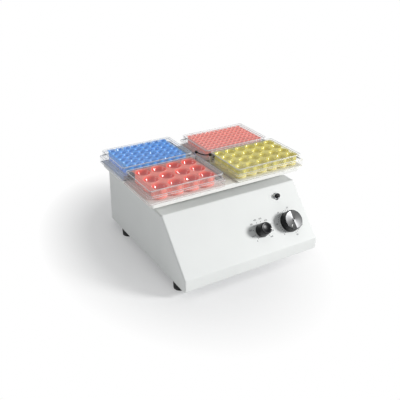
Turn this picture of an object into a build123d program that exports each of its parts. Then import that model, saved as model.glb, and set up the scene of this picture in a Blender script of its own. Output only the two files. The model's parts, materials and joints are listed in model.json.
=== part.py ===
from build123d import *
import math
import os

os.makedirs("parts", exist_ok=True)

# All sizes are millimetres: X to the right, Y to the back, Z up from the bench.
# The origin is on the bench, under the middle of the instrument.

# Housing: a bent sheet steel cover on a flat base plate
housing_width = 240.0
housing_depth = 250.0
housing_height = 90.5
lip_height = 18.5
slope_run = 67.0
sheet = 1.5
bend_radius = 2.8
flange_width = 12.0
cover_gap = 0.4
base_corner = 2.0
rear_reach = 6.0

# Feet
foot_stand = 10.5
foot_radius = 10.4
foot_tip_radius = 9.8
foot_inset_x = 9.5
foot_inset_front = 29.0
foot_inset_rear = 48.0
stud_seat = 5.0
stud_end = 1.2

# Fasteners
screw_m4 = 2.0
screw_slack = 0.2
thread_slack = 0.05
head_ratio = 1.9
head_height = 1.8

# Orbit: the tray runs in a circle without turning
orbit_radius = 1.5
tray_back = 155.0
running_gap = 0.03
pin_gap = 0.06
rest_gap = 0.2
end_play = 0.3

# How far cutters reach past a face, and how far joined forms reach into each other
spare = 1.0
weld = 0.5

# Tray
tray_width = 266.0
tray_depth = 169.0
tray_rise = 19.5
tray_sheet = 2.0
tray_lip = 7.0
tray_corner = 4.0
tray_edge = 0.8

# Microplates: the outside sizes are the laboratory standard footprint
plate_length = 127.76
plate_width = 85.48
column_gap = 19.5
row_gap = 4.4
plate_corner = 4.0
inner_corner = 2.8
skirt_wall = 1.6
recess_depth = 2.2
pad_thickness = 1.6
pad_gap = 1.0
lid_inset = 2.7
lid_wall = 1.2
lid_gap = 0.6
lid_headroom = 0.8
lid_edge = 0.7
lid_border = 3.2
lid_border_height = 0.35
well_floor = 3.4
well_headspace = 3.4
media_gap = 0.05

# Each microplate: its side and end of the tray, then its columns and rows of wells
plate_seats = {"blue": (-1, 1), "pink": (1, 1), "red": (-1, -1), "yellow": (1, -1)}
well_counts = {"blue": (8, 6), "pink": (12, 8), "red": (4, 3), "yellow": (6, 4)}

# Each microplate: borders at its ends and sides, wall between wells, their form, skirt height, height over the lid
microplates = {
    "blue": (11.88, 3.74, 2.4, "square", 11.0, 20.6),
    "pink": (9.88, 6.74, 2.0, "square", 9.2, 18.2),
    "red": (11.88, 3.74, 3.6, "round", 11.0, 20.6),
    "yellow": (5.98, 4.14, 2.3, "square", 11.0, 20.6),
}

# Retaining wire between the inner corners of the four plates
wire_radius = 1.0
wire_sag = 2.2
post_radius = 1.7
post_seat = 0.1
post_height = 22.5
wire_drop = 2.2
post_left = (-6.9, 4.5)
post_right = (6.9, -15.0)

# Drive frame: a bridge of bent sheet that carries the spindle and the four idlers
frame_sheet = 2.5
frame_width = 190.0
frame_depth = 124.0
frame_headroom = 6.5
frame_bend = 3.5
frame_foot = 11.0
frame_window = (72.0, 44.0)
frame_screw_inset = 15.0

# Spindle, bearings and crank pin
bearing_bore = 6.0
bearing_radius = 14.0
bearing_width = 8.0
bearing_spacing = 12.5
race_share = 0.22
shield_depth = 0.5
housing_wall = 5.5
bearing_shoulder = 2.0
housing_flange = 27.0
housing_flange_thickness = 4.5
collar_radius = 9.0
crank_pin_radius = 4.0
hub_bearing_radius = 11.0
hub_bearing_width = 7.0
hub_bearing_rise = 2.0
web_rise = 2.5
spindle_hole = 14.0
spindle_end = 3.0
pin_reach = 1.0

# Idler cranks
idler_x = 70.0
idler_y = 42.0
idler_radius = 4.0
idler_pin_radius = 3.0
idler_web_radius = 8.0
idler_bush_radius = 7.0
idler_bush_length = 15.0
idler_flange_radius = 10.0
idler_flange = 2.3
idler_collar = 6.5
idler_collar_height = 2.4
idler_end = 1.5
pin_headroom = 1.0
idler_hole = 11.0

# Belt drive
pulley_motor = 11.0
pulley_spindle = 22.0
pulley_flange = 2.6
flange_sheet = 1.2
belt_width = 8.0
belt_thickness = 1.2
belt_gap = 0.1
belt_play = 0.6
motor_offset = 62.0
pulley_drop = 1.5

# Counterweight
weight_radius = 31.0
weight_hub = 11.0
weight_thickness = 7.0

# Motor and its bracket
motor_radius = 21.0
motor_length = 41.0
motor_pilot = 10.0
motor_pilot_height = 2.0
motor_shaft_radius = 2.5
shaft_seat = 11.0
motor_edge = 1.2
motor_cap_radius = 8.0
motor_cap_height = 2.5
motor_terminal = (4.8, 0.8, 3.2)
motor_terminal_spread = 26.0
bracket_sheet = 2.0
bracket_half_width = 25.0
bracket_half_span = 27.0
bracket_foot = 11.0
bracket_height = 48.0

# Tray carrier under the tray
carrier_width = 172.0
carrier_depth = 116.0
carrier_plate = 4.0
carrier_corner = 10.0
carrier_window = (30.0, 20.0)
carrier_window_place = (40.0, 34.0)
boss_radius = 8.0
hub_boss_radius = 17.0
rib_thickness = 4.0
rib_depth = 3.0
rib_inset = 6.0
hub_clearance = 1.0

# Controls on the slope: sideways place, and distance up the slope from the lip
speed_place = (28.0, 36.0)
timer_place = (81.0, 36.0)
switch_place = (76.5, 80.0)
knob_lift = 0.8
knob_rim = 0.6
knob_headroom = 0.9
shaft_reach = 6.0
control_shaft = 3.0
control_bush = 4.7
nut_across = 14.0
nut_height = 2.2
speed_base_radius = 10.8
speed_top_radius = 9.2
speed_height = 15.5
timer_base_radius = 16.4
timer_top_radius = 15.6
timer_height = 13.0
cap_border = 1.2
cap_depth = 0.8
cap_gap = 0.1
cap_thickness = 1.1
bush_end = 0.8
pot_radius = 12.0
pot_depth = 10.0
pot_tags = (14.0, 8.0, 1.2)
timer_case = 42.0
timer_case_depth = 26.0
timer_corner = 3.0
timer_spring_radius = 12.0
timer_spring_height = 3.0
switch_bush = 4.7
switch_bezel_radius = 5.9
switch_bezel_height = 2.4
button_radius = 3.4
button_height = 6.4
button_rim = 0.7
button_travel = 2.5
button_seat = 6.0
switch_case = 15.0
switch_case_depth = 22.0
switch_corner = 1.5
switch_bush_end = 1.6
switch_tag = (8.0, 4.8, 0.8)
bezel_edge = 0.9
bezel_slope = 1.3
bezel_gap = 0.5

# Rear fittings
inlet_x = -72.0
inlet_z = 46.0
inlet_flange_width = 50.0
inlet_flange_height = 25.0
inlet_flange_thickness = 3.0
inlet_flange_corner = 6.0
inlet_body_width = 28.0
inlet_body_height = 20.5
inlet_body_corner = 2.0
inlet_cavity_width = 24.2
inlet_cavity_height = 16.4
inlet_cavity_depth = 14.0
inlet_cut_corner = 4.0
inlet_body_depth = 18.0
blade_width = 4.0
blade_thickness = 2.0
blade_length = 12.0
blade_spacing = 14.0
blade_offset = 2.0
blade_slack = 0.1
blade_tag = 6.0
fuse_x = -24.0
fuse_radius = 6.2
fuse_flange = 8.6
fuse_flange_thickness = 1.6
fuse_cap_radius = 6.9
fuse_cap_height = 4.2
fuse_length = 30.0
fuse_spigot = 3.5
fuse_end = 3.0
fuse_nut_radius = 9.0
fuse_nut_height = 3.0
coin_slot = (10.0, 1.4, 2.4)

# Electronics
board_size = (92.0, 58.0)
board_thickness = 1.6
board_x = -54.0
board_front = 52.0
board_height = 8.0
board_inset = 5.0
board_corner = 2.0
pillar_across = 5.5
core_size = (57.0, 30.0, 48.0)
core_place = (58.0, 58.0)
coil_wall = 9.0
coil_gap = 0.2
coil_corner = 3.0
sink_place = (-8.0, 6.0)
sink_size = (20.0, 13.0, 18.0)
sink_slots = 4
sink_slot = 2.4
sink_web = 2.0
capacitor_place = -26.0
capacitor_spread = 8.0
capacitor_radius = 6.2
capacitor_height = 17.0
relay_place = (28.0, 0.0)
relay_size = (16.0, 12.0, 12.0)
terminal_place = (0.0, -19.5)
terminal_size = (28.0, 9.0, 10.0)

# Vents in the base plate
vent_count = 9
vent_length = 34.0
vent_width = 3.0
vent_pitch = 7.0
vent_bank = 42.0
vent_rear = 56.0

# Places worked out from the sizes above
front = -(housing_depth + rear_reach) / 2
rear = front + housing_depth
edge = foot_stand
top = edge + housing_height
lip_top = edge + lip_height
slope_rise = housing_height - lip_height
slope_angle = math.degrees(math.atan2(slope_rise, slope_run))
slope_tan = slope_rise / slope_run
slope_cos = math.cos(math.radians(slope_angle))
centre_y = front + tray_back
board_place = (board_x, front + board_front)
floor_top = edge + sheet
frame_top = top - sheet - frame_headroom
deck = top + tray_rise
deck_under = deck - tray_sheet
web_top = top + web_rise
bearing_top = frame_top + housing_flange_thickness
lower_bearing = bearing_top - 2 * bearing_width - (bearing_spacing - bearing_width)
pulley_height = belt_width + 2 * flange_sheet + belt_play
pulley_top = lower_bearing - pulley_drop
pulley_foot = pulley_top - pulley_height
weight_foot = pulley_foot - weight_thickness - end_play
bracket_top = floor_top + bracket_height
hub_bearing_low = web_top + hub_bearing_rise
inner_x = housing_width / 2 - sheet


def save(shape, name):
    """Write one node."""
    export_step(shape, f"parts/{name}.step")


def group(solids):
    """Several separate solids in one node."""
    flat = []
    for item in solids:
        flat.extend(item.solids())
    return Compound(children=flat)


def rod(radius, low, high, x=0.0, y=0.0):
    """Upright round bar from one height to another."""
    bar = Cylinder(radius, high - low, align=(Align.CENTER, Align.CENTER, Align.MIN))
    return Pos(x, y, low) * bar


def block(x, y, z):
    """Box given by its limits along each axis."""
    size = [high - low for low, high in (x, y, z)]
    middle = [(high + low) / 2 for low, high in (x, y, z)]
    return Pos(*middle) * Box(*size)


def plate(width, depth, radius, low, high, x=0.0, y=0.0):
    """Flat piece with rounded upright corners."""
    outline = RectangleRounded(width, depth, radius)
    return Pos(x, y, low) * extrude(outline, high - low)


def slope_height(y, inset=0.0):
    """Height of the slope's face, or of a face set in under it, at a place along Y."""
    return lip_top + (y - front) * slope_tan - inset / slope_cos


def slope_place(z, inset=0.0):
    """Place along Y where the slope's face is at a given height."""
    return front + (z - lip_top + inset / slope_cos) / slope_tan


def slope_plane(place, lift=0.0):
    """Plane on the slope with its normal pointing out of the panel."""
    angle = math.radians(slope_angle)
    across, up = place
    origin = (across, front + up * math.cos(angle), lip_top + up * math.sin(angle))
    panel = Plane(origin=origin, x_dir=(1, 0, 0), z_dir=(0, -math.sin(angle), math.cos(angle)))
    return panel.offset(lift)


def disc_on(plane, radius, low, high):
    """Round bar along a plane's normal."""
    bar = Cylinder(radius, high - low, align=(Align.CENTER, Align.CENTER, Align.MIN))
    return plane * Pos(0, 0, low) * bar


def side_profile(inset, foot):
    """Outline of the housing seen from the side, set in by a wall."""
    points = [
        (front + inset, foot),
        (front + inset, slope_height(front + inset, inset)),
        (slope_place(top - inset, inset), top - inset),
        (rear - inset, top - inset),
        (rear - inset, foot),
    ]
    return make_face(Plane.YZ * Polyline(*points, close=True))


def housing_block(inset, foot, radius):
    """Solid wedge shape of the housing with its bends rounded."""
    shape = extrude(side_profile(inset, foot), housing_width / 2 - inset, both=True)
    bends = shape.edges().filter_by(lambda edge_line: edge_line.center().Z > foot + sheet)
    return fillet(bends, radius)


def screw(radius, length):
    """Screw with a six-sided head, pointing down from it."""
    return extrude(RegularPolygon(radius * head_ratio, 6), head_height) + Pos(0, 0, -length) * extrude(Circle(radius), length)


# Screw places that several pieces share
foot_places = [
    (side * (housing_width / 2 - foot_inset_x), y)
    for side in (-1, 1)
    for y in (front + foot_inset_front, rear - foot_inset_rear)
]
idler_places = {
    "front_left": (-idler_x, centre_y - idler_y),
    "front_right": (idler_x, centre_y - idler_y),
    "rear_left": (-idler_x, centre_y + idler_y),
    "rear_right": (idler_x, centre_y + idler_y),
}
motor_place = (-motor_offset, centre_y)
frame_leg = frame_width / 2
frame_screw_places = [
    (side * (frame_leg + frame_foot / 2), centre_y + end * (frame_depth / 2 - frame_screw_inset))
    for side in (-1, 1)
    for end in (-1, 1)
]
board_pillar_places = [
    (board_place[0] + side * (board_size[0] / 2 - board_inset), board_place[1] + end * (board_size[1] / 2 - board_inset))
    for side in (-1, 1)
    for end in (-1, 1)
]
blade_places = [(side * blade_spacing / 2, -blade_offset) for side in (-1, 1)] + [(0.0, blade_offset)]


def make_cover():
    """One bent and welded sheet: lip, slope, top, sides and back, with a flange turned in round its foot."""
    shell = housing_block(0.0, edge, bend_radius)
    shell -= housing_block(sheet, edge - 2 * sheet, bend_radius - sheet)
    ring_low = floor_top
    reach_x = inner_x + weld
    reach_y = (front + sheet - weld, rear - sheet + weld)
    ring = block((-reach_x, reach_x), reach_y, (ring_low, ring_low + sheet))
    ring -= block(
        (-inner_x + flange_width, inner_x - flange_width),
        (front + sheet + flange_width, rear - sheet - flange_width),
        (ring_low - spare, ring_low + sheet + spare),
    )
    shell += ring
    for x, y in foot_places:
        shell -= rod(screw_m4 + thread_slack, ring_low - spare, ring_low + sheet + spare, x, y)
    shell -= rod(spindle_hole, top - 4 * sheet, top + spare, 0, centre_y)
    for x, y in idler_places.values():
        shell -= rod(idler_hole, top - 4 * sheet, top + spare, x, y)
    for place, radius in ((speed_place, control_bush), (timer_place, control_bush), (switch_place, switch_bush)):
        shell -= disc_on(slope_plane(place), radius + screw_slack, -4 * sheet, 2 * sheet)
    back = (rear - 2 * sheet, rear + sheet)
    half_width = inlet_body_width / 2 + screw_slack
    half_height = inlet_body_height / 2 + screw_slack
    shell -= block((inlet_x - half_width, inlet_x + half_width), back, (inlet_z - half_height, inlet_z + half_height))
    shell -= disc_on(rear_plane(fuse_x), fuse_radius + screw_slack, -4 * sheet, sheet)
    return shell


def make_base_plate():
    """Flat sheet inside the cover's foot, with vents and screw holes."""
    width = 2 * (inner_x - cover_gap)
    depth = housing_depth - 2 * (sheet + cover_gap)
    shape = plate(width, depth, base_corner, edge, floor_top, 0, front + housing_depth / 2)
    for x, y in foot_places + frame_screw_places:
        shape -= rod(screw_m4 + thread_slack, edge - spare, floor_top + spare, x, y)
    for bank in (-1, 1):
        for index in range(vent_count):
            x = bank * vent_bank + (index - (vent_count - 1) / 2) * vent_pitch
            slot = Box(vent_width, vent_length, 4 * sheet)
            shape -= Pos(x, rear - vent_rear, edge) * slot
    return shape


def make_foot(x, y):
    """Tapered rubber foot, moulded round the head of its stud."""
    foot = Cone(foot_tip_radius, foot_radius, foot_stand, align=(Align.CENTER, Align.CENTER, Align.MIN))
    foot -= rod(screw_m4 + thread_slack, stud_seat, foot_stand + spare)
    return Pos(x, y, 0) * foot


def make_foot_studs():
    """The four studs, each from its foot through the base plate into the cover's flange."""
    return group([rod(screw_m4, stud_seat, floor_top + sheet + stud_end, x, y) for x, y in foot_places])


def make_drive_frame():
    """Bridge of bent sheet: a top plate on two side legs with feet turned out."""
    half = frame_depth / 2
    span = (centre_y - half, centre_y + half)
    shape = block((-frame_leg, frame_leg), span, (floor_top, frame_top))
    inside = frame_leg - frame_sheet
    shape -= block((-inside, inside), (span[0] - spare, span[1] + spare),
                   (floor_top - spare, frame_top - frame_sheet))
    outer_bends = shape.edges().filter_by(Axis.Y).group_by(Axis.Z)[-1]
    shape = fillet(outer_bends, frame_bend)
    for side in (-1, 1):
        low, high = sorted((side * inside, side * (frame_leg + frame_foot)))
        shape += block((low, high), span, (floor_top, floor_top + frame_sheet))
    for side in (-1, 1):
        window = Pos(side * frame_leg, centre_y, (floor_top + frame_top) / 2) * Box(4 * frame_sheet, *frame_window)
        shape -= window
    cut = (frame_top - 2 * frame_sheet, frame_top + spare)
    shape -= rod(bearing_radius + housing_wall + thread_slack, *cut, 0, centre_y)
    for x, y in idler_places.values():
        shape -= rod(idler_bush_radius + thread_slack, *cut, x, y)
    for x, y in frame_screw_places:
        shape -= rod(screw_m4 + screw_slack, floor_top - spare, floor_top + 2 * frame_sheet, x, y)
    return shape


def make_chassis_screws():
    """The four larger screws of the drive frame."""
    bolt = screw(screw_m4, frame_sheet + sheet)
    return group([Pos(x, y, floor_top + frame_sheet) * bolt for x, y in frame_screw_places])


def make_bearing_housing():
    """Flanged tube that holds the two spindle bearings."""
    outer = bearing_radius + housing_wall
    middle = bearing_radius - bearing_shoulder
    outline = [
        (bearing_radius, bearing_top),
        (housing_flange, bearing_top),
        (housing_flange, frame_top),
        (outer, frame_top),
        (outer, lower_bearing),
        (bearing_radius, lower_bearing),
        (bearing_radius, lower_bearing + bearing_width),
        (middle, lower_bearing + bearing_width),
        (middle, bearing_top - bearing_width),
        (bearing_radius, bearing_top - bearing_width),
    ]
    face = make_face(Plane.XZ * Polyline(*outline, close=True))
    return Pos(0, centre_y, 0) * revolve(face, Axis.Z)


def ball_bearing(bore, radius, width, low, x, y):
    """Sealed ball bearing: two races with the shield sunk between them at the top."""
    race = (radius - bore) * race_share
    high = low + width
    outline = [
        (bore + running_gap, low),
        (radius, low),
        (radius, high),
        (radius - race, high),
        (radius - race, high - shield_depth),
        (bore + race, high - shield_depth),
        (bore + race, high),
        (bore + running_gap, high),
    ]
    face = make_face(Plane.XZ * Polyline(*outline, close=True))
    return Pos(x, y, 0) * revolve(face, Axis.Z)


def make_idler_bush(x, y):
    """Flanged plain bush pressed in the drive frame."""
    outline = [
        (idler_radius + running_gap, frame_top - idler_bush_length),
        (idler_bush_radius, frame_top - idler_bush_length),
        (idler_bush_radius, frame_top),
        (idler_flange_radius, frame_top),
        (idler_flange_radius, frame_top + idler_flange),
        (idler_radius + running_gap, frame_top + idler_flange),
    ]
    face = make_face(Plane.XZ * Polyline(*outline, close=True))
    return Pos(x, y, 0) * revolve(face, Axis.Z)


def make_idler(x, y):
    """Idler crank: journal, retaining collar, web and offset pin."""
    collar_top = frame_top - idler_bush_length - end_play
    collar_foot = collar_top - idler_collar_height
    web_foot = frame_top + idler_flange + end_play
    shape = rod(idler_radius, collar_foot - idler_end, web_foot + weld, x, y)
    shape += rod(idler_collar, collar_foot, collar_top, x, y)
    shape += rod(idler_web_radius, web_foot, web_top, x, y)
    shape += rod(idler_pin_radius, web_top - weld, deck_under - pin_headroom, x + orbit_radius, y)
    return shape


def make_spindle():
    """Spindle: pulley seat, bearing journal, collar and the offset crank pin."""
    collar_foot = bearing_top + end_play
    pin_top = hub_bearing_low + hub_bearing_width + pin_reach
    shape = rod(bearing_bore, weight_foot - spindle_end, collar_foot, 0, centre_y)
    shape += rod(collar_radius, collar_foot, web_top, 0, centre_y)
    shape += rod(crank_pin_radius, web_top - weld, pin_top, orbit_radius, centre_y)
    return shape


def make_pulley(radius, bore, low, x, y):
    """Flat belt pulley with a flange at each side of the belt."""
    rim = radius + pulley_flange
    high = low + pulley_height
    outline = [
        (bore, low),
        (rim, low),
        (rim, low + flange_sheet),
        (radius, low + flange_sheet),
        (radius, high - flange_sheet),
        (rim, high - flange_sheet),
        (rim, high),
        (bore, high),
    ]
    face = make_face(Plane.XZ * Polyline(*outline, close=True))
    return Pos(x, y, 0) * revolve(face, Axis.Z)


def make_counterweight():
    """Half disc opposite the crank pin, clamped on the spindle."""
    high = weight_foot + weight_thickness
    shape = rod(weight_hub, weight_foot, high, 0, centre_y)
    half = rod(weight_radius, weight_foot, high, 0, centre_y)
    half -= block((0, 2 * weight_radius), (centre_y - 2 * weight_radius, centre_y + 2 * weight_radius),
                  (weight_foot - spare, high + spare))
    shape += half
    return shape - rod(bearing_bore + thread_slack, weight_foot - spare, high + spare, 0, centre_y)


def belt_loop(growth):
    """Outline of the belt round both pulleys."""
    rings = [
        Pos(0, centre_y) * Edge.make_circle(pulley_spindle + growth),
        Pos(*motor_place) * Edge.make_circle(pulley_motor + growth),
    ]
    return make_face(make_hull(rings))


def make_belt():
    """Endless flat belt."""
    loop = belt_loop(belt_gap + belt_thickness) - belt_loop(belt_gap)
    low = pulley_foot + (pulley_height - belt_width) / 2
    return Pos(0, 0, low) * extrude(loop, belt_width)


def make_motor_bracket():
    """Bridge over the motor: top plate, two legs and feet turned out."""
    x, y = motor_place
    wide = (x - bracket_half_width, x + bracket_half_width)
    far = bracket_half_span + bracket_foot
    shape = block(wide, (y - bracket_half_span, y + bracket_half_span), (floor_top, bracket_top))
    inside = bracket_half_span - bracket_sheet
    shape -= block((wide[0] - spare, wide[1] + spare), (y - inside, y + inside),
                   (floor_top - spare, bracket_top - bracket_sheet))
    for side in (-1, 1):
        low, high = sorted((y + side * (bracket_half_span - weld), y + side * far))
        shape += block(wide, (low, high), (floor_top, floor_top + bracket_sheet))
    return shape - rod(motor_pilot + thread_slack, bracket_top - 2 * bracket_sheet, bracket_top + spare, x, y)


def make_motor():
    """Motor can with a pilot ring, an end cap and two terminals."""
    x, y = motor_place
    face_z = bracket_top - bracket_sheet
    foot = face_z - motor_length
    shape = rod(motor_radius, foot, face_z, x, y)
    shape = chamfer(shape.edges().filter_by(GeomType.CIRCLE).group_by(Axis.Z)[0], motor_edge)
    shape += rod(motor_pilot, face_z - weld, face_z + motor_pilot_height, x, y)
    shape -= rod(motor_shaft_radius + running_gap, face_z - shaft_seat - spare, face_z + 2 * motor_pilot_height, x, y)
    shape += rod(motor_cap_radius, foot - motor_cap_height, foot + weld, x, y)
    length, thickness, drop = motor_terminal
    for side in (-1, 1):
        middle = x + side * motor_terminal_spread / 2
        shape += block((middle - length / 2, middle + length / 2), (y - thickness / 2, y + thickness / 2),
                       (foot - drop, foot + weld))
    return shape


def make_motor_shaft():
    """Motor shaft from inside the can up into its pulley."""
    x, y = motor_place
    return rod(motor_shaft_radius, bracket_top - bracket_sheet - shaft_seat, pulley_top, x, y)


def make_board():
    """Control board."""
    low = floor_top + board_height
    return plate(board_size[0], board_size[1], board_corner, low, low + board_thickness, *board_place)


def make_board_pillars():
    """Six-sided pillars that carry the board over the base plate."""
    pillar = extrude(RegularPolygon(pillar_across / math.sqrt(3), 6), board_height)
    return group([Pos(x, y, floor_top) * pillar for x, y in board_pillar_places])


def make_heat_sink(x, y, low):
    """Aluminium block with fins open to the back."""
    width, depth, height = sink_size
    sink = block((x, x + width), (y, y + depth), (low, low + height))
    pitch = width / sink_slots
    for index in range(sink_slots):
        middle = x + (index + 0.5) * pitch
        sink -= block((middle - sink_slot / 2, middle + sink_slot / 2), (y + sink_web, y + depth + spare),
                      (low + sink_web, low + height + spare))
    return sink


def make_board_parts():
    """Heat sink, smoothing capacitors, relay and terminal block on the board."""
    x, y = board_place
    low = floor_top + board_height + board_thickness
    pieces = [make_heat_sink(x + sink_place[0], y + sink_place[1], low)]
    for side in (-1, 1):
        pieces.append(rod(capacitor_radius, low, low + capacitor_height, x + capacitor_place, y + side * capacitor_spread))
    for place, size in ((relay_place, relay_size), (terminal_place, terminal_size)):
        part = Box(*size, align=(Align.CENTER, Align.CENTER, Align.MIN))
        pieces.append(Pos(x + place[0], y + place[1], low) * part)
    return group(pieces)


def make_transformer():
    """Laminated core with two windows, and the coil wound on its middle limb."""
    x, y = core_place
    width, depth, height = core_size
    limb = width / 6
    core = block((x - width / 2, x + width / 2), (y - depth / 2, y + depth / 2), (floor_top, floor_top + height))
    for side in (-1, 1):
        low, high = sorted((x + side * limb, x + side * 2 * limb))
        core -= block((low, high), (y - depth, y + depth), (floor_top + limb, floor_top + height - limb))
    half = limb + thread_slack
    tall = (floor_top + limb + coil_gap, floor_top + height - limb - coil_gap)
    reach = depth / 2 + coil_wall
    coil = plate(4 * limb - 2 * coil_gap, 2 * reach, coil_corner, *tall, x, y)
    coil -= block((x - half, x + half), (y - depth / 2 - thread_slack, y + depth / 2 + thread_slack), (0, 2 * top))
    return core, coil


def make_knob(place, base_radius, top_radius, height, face):
    """Tapered knob, hollow over its nut, with the control's shaft in it; face is the outline of its top."""
    roof = knob_lift + nut_height + knob_headroom
    high = knob_lift + height
    outline = [
        (0, -shaft_reach),
        (control_shaft, -shaft_reach),
        (control_shaft, roof),
        (nut_across / math.sqrt(3) + knob_headroom, roof),
        (nut_across / math.sqrt(3) + knob_headroom, knob_lift),
        (base_radius, knob_lift),
        (top_radius, high - knob_rim),
        (top_radius - knob_rim, high),
    ]
    section = make_face(Plane.XZ * Polyline(*outline, *face, close=True))
    return slope_plane(place) * revolve(section, Axis.Z)


def make_speed_knob():
    """Plain black knob of the speed control."""
    return make_knob(speed_place, speed_base_radius, speed_top_radius, speed_height, [(0, knob_lift + speed_height)])


def make_timer_knob():
    """Timer knob with a sunk seat for its spun metal cap."""
    high = knob_lift + timer_height
    seat = timer_top_radius - cap_border
    face = [(seat, high), (seat, high - cap_depth), (0, high - cap_depth)]
    return make_knob(timer_place, timer_base_radius, timer_top_radius, timer_height, face)


def make_timer_cap():
    """Spun aluminium disc in the timer knob's face."""
    low = knob_lift + timer_height - cap_depth
    return disc_on(slope_plane(timer_place), timer_top_radius - cap_border - cap_gap, low, low + cap_thickness)


def make_bush(panel):
    """Threaded bush through the panel, bored for the control's shaft."""
    bush = disc_on(panel, control_bush, -sheet - weld, nut_height + bush_end)
    return bush, disc_on(panel, control_shaft + running_gap, -shaft_reach - sheet, nut_height + bush_end + spare)


def make_potentiometer():
    """Round control body behind the panel, its threaded bush and its row of tags."""
    panel = slope_plane(speed_place)
    bush, bore = make_bush(panel)
    tags = Pos(0, -pot_radius - pot_tags[1] / 4, -sheet - pot_depth / 3) * Box(*pot_tags)
    return disc_on(panel, pot_radius, -sheet - pot_depth, -sheet) + bush + panel * tags - bore


def make_timer_unit():
    """Square clockwork case behind the panel, with its threaded bush."""
    panel = slope_plane(timer_place)
    bush, bore = make_bush(panel)
    low = -sheet - timer_case_depth
    case = Pos(0, 0, low) * extrude(RectangleRounded(timer_case, timer_case, timer_corner), timer_case_depth)
    spring_cap = disc_on(panel, timer_spring_radius, low - timer_spring_height, low + weld)
    return panel * case + spring_cap + bush - bore


def make_dial_nuts():
    """Nuts on the two threaded bushes."""
    nut = extrude(RegularPolygon(nut_across / math.sqrt(3), 6), nut_height)
    nut -= Cylinder(control_bush + thread_slack, 4 * nut_height)
    return group([slope_plane(place) * nut for place in (speed_place, timer_place)])


def make_switch():
    """Push switch: case behind the panel, its two tags and a bush through the panel."""
    panel = slope_plane(switch_place)
    low = -sheet - switch_case_depth
    case = Pos(0, 0, low) * extrude(RectangleRounded(switch_case, switch_case, switch_corner), switch_case_depth)
    length, width, thickness = switch_tag
    for side in (-1, 1):
        case += Pos(side * switch_case / 4, 0, low - length / 2 + weld) * Box(thickness, width, length)
    case = panel * case + disc_on(panel, switch_bush, -sheet - weld, switch_bush_end)
    return case - disc_on(panel, button_radius + pin_gap, -button_seat - button_travel - spare, 2 * switch_bush_end)


def make_bezel():
    """Chromed ring nut with a sloped face round the button."""
    inner = switch_bush + thread_slack
    lip = button_radius + bezel_gap
    outline = [
        (inner, 0),
        (switch_bezel_radius, 0),
        (switch_bezel_radius, bezel_edge),
        (switch_bezel_radius - bezel_slope, switch_bezel_height),
        (lip, switch_bezel_height),
        (lip, switch_bush_end + rest_gap),
        (inner, switch_bush_end + rest_gap),
    ]
    face = make_face(Plane.XZ * Polyline(*outline, close=True))
    return slope_plane(switch_place) * revolve(face, Axis.Z)


def make_button():
    """Push button cap and plunger."""
    plunger = rod(button_radius, -button_seat, button_height)
    plunger = chamfer(plunger.edges().group_by(Axis.Z)[-1], button_rim)
    return slope_plane(switch_place) * plunger


def rear_plane(x):
    """Plane on the back wall with its normal pointing back."""
    return Plane(origin=(x, rear, inlet_z), x_dir=(-1, 0, 0), z_dir=(0, 1, 0))


def make_inlet():
    """Mains inlet: flange, body through the wall and the socket cavity with two cut corners."""
    flange = RectangleRounded(inlet_flange_width, inlet_flange_height, inlet_flange_corner)
    body = RectangleRounded(inlet_body_width, inlet_body_height, inlet_body_corner)
    shape = extrude(flange, inlet_flange_thickness) + Pos(0, 0, -inlet_body_depth) * extrude(body, inlet_body_depth + weld)
    cavity = extrude(Rectangle(inlet_cavity_width, inlet_cavity_height), inlet_cavity_depth + spare)
    cavity = chamfer(cavity.edges().filter_by(Axis.Z).group_by(Axis.Y)[-1], inlet_cut_corner)
    shape -= Pos(0, 0, inlet_flange_thickness - inlet_cavity_depth) * cavity
    for x, y in blade_places:
        shape -= Pos(x, y, 0) * Box(blade_thickness + blade_slack, blade_width + blade_slack, 4 * inlet_body_depth)
    return rear_plane(inlet_x) * shape


def make_blades():
    """Three contact blades in the inlet, with solder tags behind."""
    high = inlet_flange_thickness - inlet_cavity_depth + blade_length
    low = -inlet_body_depth - blade_tag
    blade = Pos(0, 0, (high + low) / 2) * Box(blade_thickness, blade_width, high - low)
    return group([rear_plane(inlet_x) * Pos(x, y, 0) * blade for x, y in blade_places])


def make_fuse_holder():
    """Panel fuse holder: tube through the wall with a flange outside and a nut inside."""
    panel = rear_plane(fuse_x)
    shape = disc_on(panel, fuse_radius, -fuse_length, weld)
    shape += disc_on(panel, fuse_flange, 0, fuse_flange_thickness)
    nut = Pos(0, 0, -sheet - fuse_nut_height) * extrude(RegularPolygon(fuse_nut_radius, 6), fuse_nut_height)
    shape += panel * nut
    return shape - disc_on(panel, fuse_spigot + pin_gap, fuse_end - fuse_length, fuse_flange_thickness + spare)


def make_fuse_cap():
    """Fuse cap with a coin slot and the spigot that holds the fuse."""
    panel = rear_plane(fuse_x)
    low = fuse_flange_thickness + rest_gap
    cap = disc_on(panel, fuse_cap_radius, low, low + fuse_cap_height)
    cap += disc_on(panel, fuse_spigot, fuse_end + end_play - fuse_length, low + weld)
    slot = Pos(0, 0, low + fuse_cap_height) * Box(*coin_slot)
    return cap - panel * slot


def make_tray():
    """Flat sheet tray with a lip turned down all round."""
    low = deck - tray_lip
    shape = plate(tray_width, tray_depth, tray_corner, low, deck, 0, centre_y)
    shape = chamfer(shape.faces().sort_by(Axis.Z)[-1].outer_wire().edges(), tray_edge)
    shape -= plate(tray_width - 2 * tray_sheet, tray_depth - 2 * tray_sheet, tray_corner - tray_sheet,
                   low - spare, deck_under, 0, centre_y)
    for x, y in (post_left, post_right):
        shape -= rod(post_radius + thread_slack, deck_under - spare, deck + spare, x, centre_y + y)
    return shape


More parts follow.
